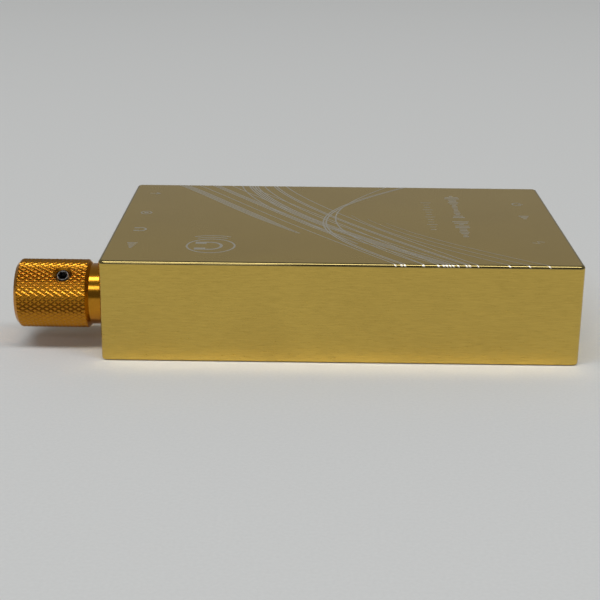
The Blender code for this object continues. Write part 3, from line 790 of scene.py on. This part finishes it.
def make_jack_body(name, sizes, place):
    """The moulded body behind the wall, and a contact in its bore for each pole."""
    low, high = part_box(f"{name}_jack_body")
    middle, extent = (low + high) / 2, high - low
    body = block(f"{name}_socket_housing", extent, at(*middle), side=0.5 * MM, top=0.3 * MM)
    bore = rod("bore", sizes["bore"], -BEHIND_WALL - FLANGE_THICKNESS - 0.8 * extent.x, MM, place)
    ribs = [block("rib_gap", (0.5 * MM, 0.6 * extent.y, 1.0 * MM),
                  at(low.x + share * extent.x, middle.y, high.z)) for share in (0.3, 0.5, 0.7)]
    carve(body, [bore, *ribs])
    fixed(body, BLACK, "black_plastic", f"{name}_jack_body")
    clips = []
    for pole in range(sizes["poles"]):
        depth = BEHIND_WALL + FLANGE_THICKNESS + (0.18 + 0.6 * pole / sizes["poles"]) * extent.x
        side = math.pi / 2 * (1 + 2 * (pole % 2))
        clips.append(block("clip", (0.5 * MM, 1.1 * MM, 0.7 * MM),
                           place @ Matrix.Rotation(side, 4, "Z")
                           @ at(sizes["bore"] - 0.1 * MM, 0, -depth),
                           side=0.2 * MM, top=0.1 * MM))
    fixed(merge(f"{name}_contacts", clips), BRASS, "brass")


for jack, jack_sizes in JACKS.items():
    jack_place = outwards(centre(f"{jack}_jack_barrel").y)
    for make in (make_ring_nut, make_barrel, make_jack_body):
        make(jack, jack_sizes, jack_place)


# ==== volume control's fixed parts ====
def along_shaft(node):
    """How far in front of the case a turned piece starts and ends, and its radius."""
    low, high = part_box(node)
    return FRONT - high.x, FRONT - low.x, (high.z - low.z) / 2


def make_pot_nut():
    start, end, reach = along_shaft("pot_nut")
    place = outwards(KNOB_Y)
    nut = rod("bush_nut", reach, start, end, place, 6)
    cone = lathe("corner_cone", [(reach + MM, end + MM), (reach + MM, end - 1.3 * MM),
                                 (0.88 * reach, end), (0.88 * reach, end + MM)], place,
                 ring=True)
    carve(nut, [rod("thread_hole", BUSH_RADIUS, 0, 4 * MM, place), cone])
    fixed(nut, ZINC, "zinc", "pot_nut")


def make_washer():
    start, end, outer = along_shaft("pot_washer")
    inner = BUSH_RADIUS + 0.02 * MM
    outline = softened([(inner, end), (outer, end), (outer, start), (inner, start)],
                       [0, 0.12 * MM, 0.12 * MM, 0], 3)
    washer = lathe("bush_washer", outline, outwards(KNOB_Y), ring=True)
    fixed(washer, STEEL, "steel", "pot_washer")


make_pot_nut()
make_washer()
dress(ZINC, "pot_bush", "volume_shaft", "power_switch_body", "gain_switch_body")
dress(BLACK, "pot_body")


# ==== rear end ====
def make_lever(name):
    """A switch lever with three grip ridges across its end."""
    node = f"{name}_slider"
    extent = size(node)
    place = rearwards(node, centre(node).x)
    end = extent.x / 2
    lever = loft(f"{name}_lever", extent.z, extent.y, 0.22 * MM,
                 [(0, -end), (0, end - 0.12 * MM), (-0.04 * MM, end - 0.04 * MM),
                  (-0.12 * MM, end)], place)
    grips = [block("grip", (3 * MM, 0.26 * MM, 0.8 * MM), place @ at(0, step * 0.52 * MM, end))
             for step in (-1, 0, 1)]
    carve(lever, grips)
    finish(shade(lever), f"{name}_lever", BLACK, "black_plastic", node)


def make_port():
    """A charging port: its drawn steel shell, and the tongue with its rows of contacts."""
    spot, extent = centre("usb_port"), size("usb_port")
    mouth = spot.x + extent.x / 2 - REAR
    sheet = 0.3 * MM
    shell = loft("port_shell", extent.z, extent.y, 1.3 * MM,
                 [(0, mouth - extent.x), (0, mouth - 0.12 * MM), (-0.1 * MM, mouth),
                  (-sheet + 0.05 * MM, mouth), (-sheet, mouth - 0.1 * MM),
                  (-sheet, mouth - extent.x + sheet)], rearwards("usb_port"))
    fixed(shell, ZINC, "zinc", "usb_port")
    middle, extent = centre("usb_tongue"), size("usb_tongue")
    tongue = block("port_tongue", extent.zyx, rearwards("usb_tongue", middle.x),
                   side=0.12 * MM, top=0.1 * MM)
    fixed(tongue, BLACK, "black_plastic", "usb_tongue")
    count, pitch = 12, 0.48 * MM
    pads = []
    for face in (-1, 1):
        for index in range(count):
            aside = (index - (count - 1) / 2) * pitch
            pads.append(block("pad", (3.2 * MM, 0.26 * MM, 0.04 * MM), at(
                middle.x + extent.x / 2 - 2.0 * MM, middle.y + aside,
                middle.z + face * (extent.z / 2 + 0.01 * MM))))
    finish(merge("port_contacts", pads), FIXED, BRASS, "brass")


def make_light():
    """A clear light pipe with a domed end."""
    extent = size("light_pipe")
    length, radius = extent.x, extent.z / 2
    place = rearwards("light_pipe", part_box("light_pipe")[0].x)
    dome = [(radius * math.sin(turn), length - 0.35 * MM * (1 - math.cos(turn)))
            for turn in [math.pi / 2 * step / 8 for step in range(9)]]
    pipe = lathe("clear_light_pipe", [*dome, (radius, 0.15 * MM), (radius - 0.15 * MM, 0), (0, 0)],
                 place, 40)
    fixed(pipe, CLEAR, "light_clear", "light_pipe")


for switch in SWITCHES:
    make_lever(switch)
make_port()
make_light()
dress(PALE, "status_led")


# ==== parts inside ====
def make_can(number):
    """An electrolytic capacitor: a sleeved can with a crimp and a scored aluminium top."""
    low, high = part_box(f"capacitor_{number}")
    radius = (high.x - low.x) / 2
    place = plan(f"capacitor_{number}", low.z)
    height = high.z - low.z
    dished = height - 0.25 * MM
    crimp = 2.2 * MM
    outline = softened([(0, dished), (radius - 0.9 * MM, dished), (radius - 0.7 * MM, height),
                        (radius, height)], [0, 0.1 * MM, 0.1 * MM, 0])
    outline += [(radius, crimp + 0.5 * MM), (radius - 0.12 * MM, crimp + 0.25 * MM),
                (radius - 0.3 * MM, crimp), (radius - 0.12 * MM, crimp - 0.25 * MM),
                (radius, crimp - 0.5 * MM), (radius, 0.3 * MM), (radius - 0.3 * MM, 0), (0, 0)]
    can = lathe(f"sleeved_can_{number}", outline, place)
    carve(can, [block("score", (1.32 * radius, 0.25 * MM, 0.2 * MM),
                      place @ at(0, 0, dished) @ Matrix.Rotation(turn, 4, "Z"))
                for turn in (0.4, 0.4 + math.pi / 2)])
    can.data.materials.append(SLEEVE)
    can.data.materials.append(ZINC)
    for face in can.data.polygons:
        reach = math.hypot(face.center.x, face.center.y)
        if face.center.z > height - 0.5 * MM and reach < radius - 0.65 * MM:
            face.material_index = 1
    fixed(can, SLEEVE, "can_sleeve", f"capacitor_{number}")


def soft_block(name, node, material, slot, side, top, bottom=0.0):
    """A block with evenly rounded edges, in a CAD node's place."""
    fixed(block(name, size(node), at(*centre(node)), side * MM, top * MM, bottom * MM, 6),
          material, slot, node)


def make_lead(name, node, material, slot, points=33, radius=0.45 * MM):
    """An insulated wire that leaves and arrives level, with a smooth rise between."""
    low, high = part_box(node)
    curve = bpy.data.curves.new(name, "CURVE")
    curve.dimensions = "3D"
    curve.bevel_depth = radius
    curve.bevel_resolution = 4
    curve.use_fill_caps = True
    spline = curve.splines.new("POLY")
    spline.points.add(points - 1)
    outer = max(low.y, high.y, key=abs)
    inner = min(low.y, high.y, key=abs)
    start, end = inner + math.copysign(radius, outer), outer - math.copysign(radius, outer)
    for index, point in enumerate(spline.points):
        share = index / (points - 1)
        ease = share * share * (3 - 2 * share)
        point.co = (low.x + (high.x - low.x) * share, start + (end - start) * ease,
                    low.z + radius + (high.z - low.z - 2 * radius) * ease, 1.0)
    finish(add_object(name, curve), FIXED, material, slot, node)


dress(BOARD, "main_board")
dress(CHIP, "opamp_left", "opamp_right", "charger_chip", "charger_coil")
for number in range(1, 5):
    make_can(number)
for number in (1, 2):
    soft_block(f"film_block_{number}", f"film_capacitor_{number}", FILM, "film_red", 0.9, 0.7)
soft_block("battery_pouch", "battery_pack", WRAP, "battery_wrap", 1.8, 1.2, 1.2)
soft_block("foam_pad", "battery_pad", FOAM, "foam", 2.0, 0.15, 0.15)
soft_block("relay_can", "mute_relay", PALE, "pale_plastic", 0.6, 0.4)
soft_block("lead_socket", "battery_socket", PALE, "pale_plastic", 0.5, 0.25)
soft_block("lead_plug", "battery_plug", PALE, "pale_plastic", 0.5, 0.25)
make_lead("red_wire", "battery_lead_red", RED, "lead_red")
make_lead("black_wire", "battery_lead_black", DARK, "lead_black")


# ==== marks on the top ====
MARK_SINK = 0.03 * MM
MARK_LIFT = 0.006 * MM
LIFT_STEP = 0.0012 * MM
LIFT_COUNT = 16
# Lines in mm, and the degrees round the rounded edge where a band has cross sections.
HATCH_PITCH = 0.72
HATCH_WIDTH = 0.44
FINE = 0.38
THIN = 0.35
EDGE_TURNS = (0, 12, 24, 36, 48, 60)


class Mark:
    """Thin closed plates on the case's top, gathered in one piece. It is drawn in mm."""

    def __init__(self, name):
        self.name = name
        self.work = bmesh.new()
        self.count = 0

    def next_lift(self):
        """Plates that cross lie at slightly different heights."""
        self.count = (self.count + 1) % LIFT_COUNT
        return MARK_LIFT + LIFT_STEP * self.count

    def strip(self, sections, closed=False):
        """A closed plate through cross sections of four points each."""
        rings = [[self.work.verts.new(point) for point in section] for section in sections]
        pairs = list(zip(rings, rings[1:]))
        if closed:
            pairs.append((rings[-1], rings[0]))
        else:
            self.work.faces.new(rings[0])
            self.work.faces.new(rings[-1])
        for first, second in pairs:
            for i in range(4):
                j = (i + 1) % 4
                self.work.faces.new((first[i], first[j], second[j], second[i]))

    def stroke(self, path, width, closed=False):
        """A flat line of one width along (x, y) points."""
        high, low = TOP + self.next_lift(), TOP - MARK_SINK
        path = [Vector(point) * MM for point in path]
        sections = []
        for i, here in enumerate(path):
            before, after = path[max(i - 1, 0)], path[min(i + 1, len(path) - 1)]
            if closed:
                before, after = path[i - 1], path[(i + 1) % len(path)]
            along = (after - before).normalized()
            across = Vector((-along.y, along.x)) * width * MM / 2
            left, right = here + across, here - across
            sections.append([(*left, high), (*right, high), (*right, low), (*left, low)])
        self.strip(sections, closed)

    def circle(self, x, y, radius, width, start=0.0, turn=360.0, steps=48):
        """A ring, or an arc of it. Angles are in degrees from +X."""
        whole = turn >= 360
        angles = [math.radians(start + turn * i / steps) for i in range(steps + (not whole))]
        self.stroke([(x + radius * math.cos(a), y + radius * math.sin(a)) for a in angles],
                    width, whole)

    def bar(self, x, y, length_x, length_y):
        """A filled rectangle."""
        self.stroke([(x, y - length_y / 2), (x, y + length_y / 2)], length_x)

    def sweep(self, far_x, near_x, lean, bow, width, first=0.0, last=1.0, steps=48):
        """A curved band of parallel fine lines from the far edge to the near edge, which
        follows both rounded edges. lean is how soon it crosses over, bow pushes its middle
        along X, and first and last cut it short."""
        lift = self.next_lift()
        reach = FAR - 0.05 * TOP_RADIUS
        lines = max(1, round(width / HATCH_PITCH))
        line_width = HATCH_WIDTH if lines > 1 else width
        bends = [0.5 - (FAR - TOP_RADIUS * (1 - math.sin(math.radians(turn)))) / (2 * reach)
                 for turn in EDGE_TURNS]
        shares = sorted({first + (last - first) * i / steps for i in range(steps + 1)}
                        | {share for share in bends if first == 0}
                        | {1 - share for share in bends if last == 1})
        for line in range(lines):
            aside = (line - (lines - 1) / 2) * HATCH_PITCH
            sections = []
            for share in shares:
                fade_out = 5 * (last - share) + (last == 1)
                fade_in = 5 * (share - first) + (first == 0)
                squeeze = 0.3 + 0.7 * min(1.0, fade_out, fade_in)
                x = far_x + (near_x - far_x) * share ** lean + bow * math.sin(math.pi * share)
                left, right = ((x + squeeze * (aside + side * line_width / 2)) * MM
                               for side in (-1, 1))
                high, low = (skin(reach * (1 - 2 * share), rise) for rise in (lift, -MARK_SINK))
                sections.append([(left, *high), (right, *high), (right, *low), (left, *low)])
            self.strip(sections)

    def finish(self):
        mark = from_bmesh(self.name, self.work)
        finish(shade(mark, 40), FIXED, ETCHED, "case_gold")


def skin(y, lift):
    """Where the case's skin lies at a Y, raised by a lift, on its flat top or round its edge."""
    over = abs(y) - (FAR - TOP_RADIUS)
    if over <= 0:
        return y, TOP + lift
    turn = math.asin(min(over / TOP_RADIUS, 1.0))
    reach = TOP_RADIUS + lift
    return (math.copysign(FAR - TOP_RADIUS + reach * math.sin(turn), y),
            TOP - TOP_RADIUS + reach * math.cos(turn))


def flowing_lines():
    """Plain swept bands and fine lines that run from the far edge to the near one."""
    mark = Mark("etched_flowing_lines")
    for i, (width, last) in enumerate(((3.2, 0.66), (FINE, 1), (2.2, 0.78), (FINE, 1), (FINE, 1))):
        mark.sweep(4.6 * i - 43, 3.2 * i + 9, 0.9 + 0.04 * i, i - 3, width, last=last)
    for i, width in enumerate((FINE, 3.0, FINE, 1.6, FINE)):
        mark.sweep(3.0 * i - 26, 2.2 * i + 22, 1.25, i - 4, width)
    for i, width in enumerate((1.3, FINE)):
        mark.sweep(19 - 5 * i, 14 + 4.5 * i, 1.0, 3 * i - 20, width)
    for i in range(3):
        mark.sweep(3 * i + 2, 4.5 * i + 38, 1.6, -8 - i, FINE, first=0.42 + 0.05 * i)
    mark.finish()


def headphone_sign(mark, x, y, scale, width):
    """A headband arc with an ear cup at each end, open towards -X."""
    mark.circle(x, y, scale, width, start=-90, turn=180, steps=32)
    for side in (-1, 1):
        mark.stroke([(x, y + side * scale), (x - 0.35 * scale, y + side * scale)], width)
        mark.bar(x - 0.7 * scale, y + side * 0.82 * scale, 0.9 * scale, 0.55 * scale)


def round_badge():
    mark = Mark("etched_round_badge")
    x, y = -30.4, -23.0
    mark.circle(x, y, 5.6, 0.45, steps=72)
    headphone_sign(mark, x - 0.4, y, 2.9, 0.7)
    for step in (1, 2):
        mark.circle(x, y, 5.6 + 1.5 * step, 0.4, start=60, turn=60, steps=24)
    mark.finish()


def level_bars():
    """A plain row of level bars, and a row of small ticks beside it."""
    mark = Mark("etched_level_bars")
    for index in range(30):
        wave = abs(math.sin(0.9 * index)) * (0.55 + 0.45 * math.cos(0.31 * index))
        if index not in (17, 18):
            mark.bar(30.5, 26.3 - 1.35 * index, 1.0 + 3.2 * wave, 0.62)
    for index in range(12):
        mark.bar(23.2, 19 - 2.35 * index, 1.5 if index % 3 else 2.6, THIN)
    mark.finish()


def end_labels():
    """Small signs beside each control and socket."""
    mark = Mark("etched_end_labels")
    phone, balanced, line, power, gain, port = (centre(node).y / MM for node in (
        "phone_jack_barrel", "balanced_jack_barrel", "line_jack_barrel", "power_switch_body",
        "gain_switch_body", "usb_port"))
    x = FRONT / MM + 6.0
    for step in range(5):
        mark.bar(x, KNOB_Y / MM + (step - 2) * 0.95, 0.6 + 0.45 * step, 0.5)
    headphone_sign(mark, x + 0.4, phone, 1.35, 0.5)
    mark.circle(x, balanced, 1.3, THIN)
    mark.circle(x, balanced, 0.35, 0.4)
    mark.stroke([(x - 1.4, line), (x + 1.2, line)], THIN)
    mark.stroke([(x + 0.3, line - 0.9), (x + 1.3, line), (x + 0.3, line + 0.9)], THIN)
    x = REAR / MM - 7.8
    mark.circle(x, power, 1.25, THIN, start=35, turn=290, steps=40)
    mark.stroke([(x + 0.2, power), (x + 1.6, power)], THIN)
    for step in range(3):
        mark.bar(x, gain + (step - 1) * 1.2, 0.9 + 0.8 * step, 0.6)
    mark.stroke([(x - 1.5, port - 0.3), (x + 0.2, port - 0.8), (x - 0.2, port + 0.8),
                 (x + 1.5, port + 0.3)], THIN)
    mark.finish()


flowing_lines()
round_badge()
level_bars()
end_labels()


# ==== surroundings ====
CAMERA_PLACE = (-0.00682, -0.31710, 0.11149)
CAMERA_RIGHT = Vector((0.99989244, 0.01170012, 0.00884434))
CAMERA_UP = Vector((-0.01215558, 0.32363942, 0.94610241))
FOCAL_LENGTH = 78.6
LIGHT_DISTANCE = 3.0


def make_camera():
    data = bpy.data.cameras.new("camera")
    data.lens = FOCAL_LENGTH
    data.sensor_width = 36.0
    data.clip_start = 0.01
    back = CAMERA_RIGHT.cross(CAMERA_UP)
    turn = Matrix((CAMERA_RIGHT, CAMERA_UP, back)).transposed().to_4x4()
    bpy.context.scene.camera = add_object("camera", data, at(*CAMERA_PLACE) @ turn)


def make_floor():
    floor = block("floor", (12.0, 12.0, 0.01), at(0, 0, -0.005))
    made = Nodes("pale_paper")
    grain = made.noise(made.place(), 1400.0, 4.0)
    made.shade(Base_Color=made.blend(grain, (0.74, 0.75, 0.75), (0.71, 0.72, 0.72)),
               Roughness=0.8)
    floor.data.materials.append(made.material)


def softbox(name, elevation, azimuth, spread, brightness):
    """A rectangular light seen from the object at an angle above the floor, spread degrees
    wide and high. Azimuth 0 is straight in front of the near face."""
    data = bpy.data.lights.new(name, "AREA")
    data.shape = "RECTANGLE"
    data.size, data.size_y = (2 * LIGHT_DISTANCE * math.tan(math.radians(part / 2))
                              for part in spread)
    data.energy = brightness * math.pi * data.size * data.size_y
    light = add_object(name, data)
    up, aside = math.radians(elevation), math.radians(azimuth)
    light.location = LIGHT_DISTANCE * Vector((math.cos(up) * math.sin(aside),
                                              -math.cos(up) * math.cos(aside), math.sin(up)))
    sight = Vector((0, 0, 0.01)) - light.location
    light.rotation_euler = sight.to_track_quat("-Z", "Y").to_euler()


def make_world(front, back):
    """Soft light from all round, dimmer from the front than from behind."""
    world = bpy.data.worlds.new("studio")
    bpy.context.scene.world = world
    world.use_nodes = True
    tree = world.node_tree
    direction = tree.nodes.new("ShaderNodeTexCoord")
    parts = tree.nodes.new("ShaderNodeSeparateXYZ")
    level = tree.nodes.new("ShaderNodeMapRange")
    level.inputs["From Min"].default_value = -1.0
    level.inputs["To Min"].default_value = front
    level.inputs["To Max"].default_value = back
    shader = tree.nodes["Background"]
    shader.inputs["Color"].default_value = (0.98, 0.985, 0.96, 1.0)
    tree.links.new(direction.outputs["Generated"], parts.inputs["Vector"])
    tree.links.new(parts.outputs["Y"], level.inputs["Value"])
    tree.links.new(level.outputs["Result"], shader.inputs["Strength"])


make_camera()
make_floor()
make_world(front=0.12, back=0.30)
softbox("high_light", elevation=74.5, azimuth=0, spread=(70, 12), brightness=7.2)
softbox("front_light", elevation=38.5, azimuth=-12, spread=(16, 11), brightness=3.6)
bpy.context.scene.view_settings.view_transform = "Standard"
bpy.context.scene.cycles.blur_glossy = 0.0
